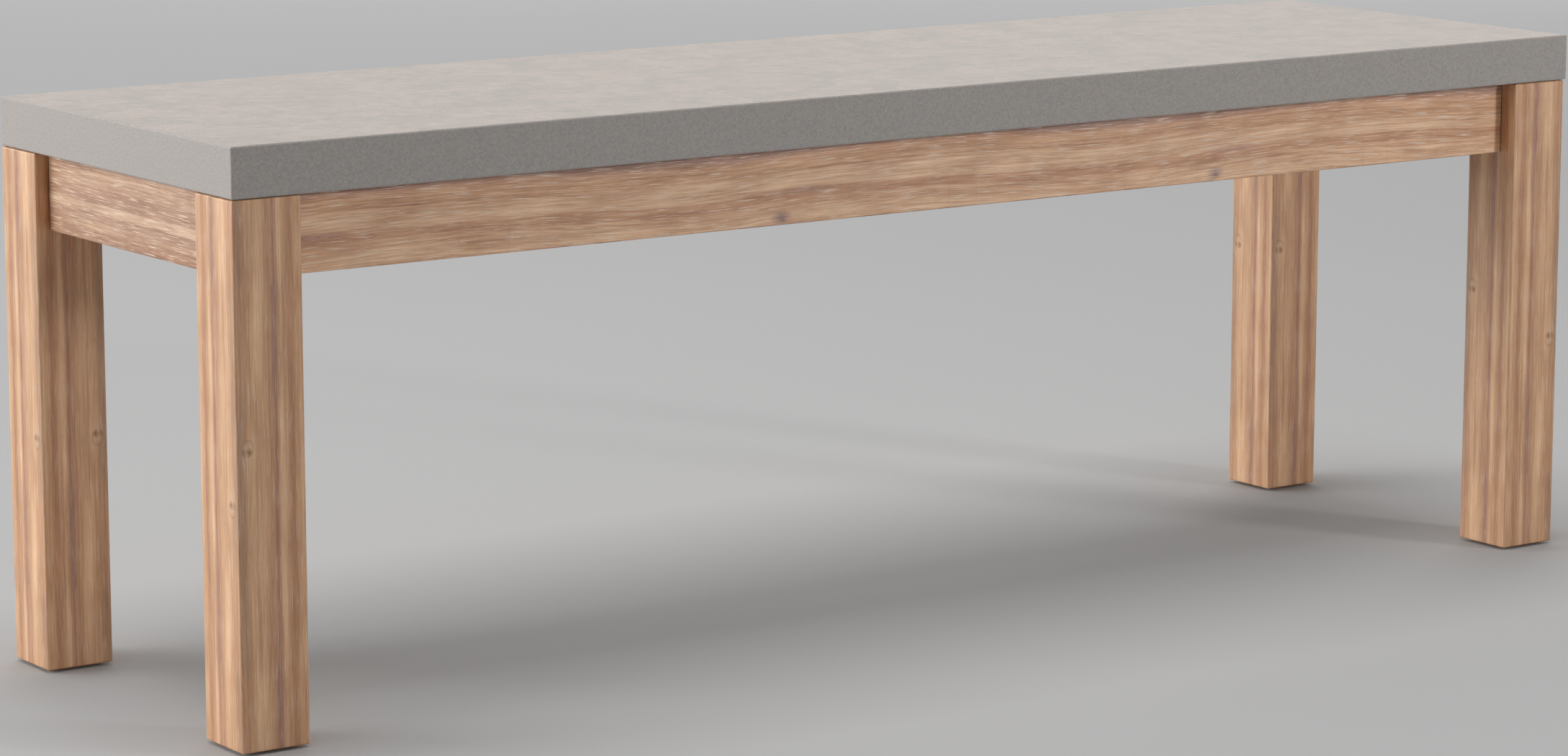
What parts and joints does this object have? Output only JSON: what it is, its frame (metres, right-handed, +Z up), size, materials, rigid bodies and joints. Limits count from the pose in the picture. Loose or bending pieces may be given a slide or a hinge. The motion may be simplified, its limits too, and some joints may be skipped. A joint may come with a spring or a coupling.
{
  "type": "backless bench",
  "caption": "Backless outdoor bench: a pale cast cement seat slab on a square-legged wooden base with set-back aprons.",
  "frame": {"origin": "on the ground, under the middle of the seat slab", "axes": "+X along the bench's length, -Y the front, +Z up"},
  "size_m": [1.317, 0.375, 0.452],
  "materials": {
    "concrete": "smooth cast cement, matt, cloudy",
    "wood": "brushed, lightly whitewashed hardwood",
    "zinc_steel": "zinc plated",
    "brass": "turned",
    "black_plastic": "moulded"
  },
  "bodies": {
    "root": {"seat_slab": "concrete", "leg_front_left": "wood", "leg_front_right": "wood", "leg_back_left": "wood", "leg_back_right": "wood", "apron_front": "wood", "apron_back": "wood", "apron_left": "wood", "apron_right": "wood", "cross_rail_left": "wood", "cross_rail_right": "wood", "corner_bracket_front_left": "zinc_steel", "corner_bracket_front_right": "zinc_steel", "corner_bracket_back_left": "zinc_steel", "corner_bracket_back_right": "zinc_steel", "bracket_screw_front_left_long": "zinc_steel", "bracket_screw_front_left_end": "zinc_steel", "bracket_screw_front_right_long": "zinc_steel", "bracket_screw_front_right_end": "zinc_steel", "bracket_screw_back_left_long": "zinc_steel", "bracket_screw_back_left_end": "zinc_steel", "bracket_screw_back_right_long": "zinc_steel", "bracket_screw_back_right_end": "zinc_steel", "hanger_bolt_front_left": "zinc_steel", "washer_front_left": "zinc_steel", "nut_front_left": "zinc_steel", "hanger_bolt_front_right": "zinc_steel", "washer_front_right": "zinc_steel", "nut_front_right": "zinc_steel", "hanger_bolt_back_left": "zinc_steel", "washer_back_left": "zinc_steel", "nut_back_left": "zinc_steel", "hanger_bolt_back_right": "zinc_steel", "washer_back_right": "zinc_steel", "nut_back_right": "zinc_steel", "slab_screw_rail_left_front": "zinc_steel", "slab_insert_rail_left_front": "brass", "slab_screw_rail_left_back": "zinc_steel", "slab_insert_rail_left_back": "brass", "slab_screw_end_left": "zinc_steel", "slab_insert_end_left": "brass", "slab_screw_rail_right_front": "zinc_steel", "slab_insert_rail_right_front": "brass", "slab_screw_rail_right_back": "zinc_steel", "slab_insert_rail_right_back": "brass", "slab_screw_end_right": "zinc_steel", "slab_insert_end_right": "brass", "glide_front_left": "black_plastic", "glide_front_right": "black_plastic", "glide_back_left": "black_plastic", "glide_back_right": "black_plastic"}
  },
  "joints": []
}
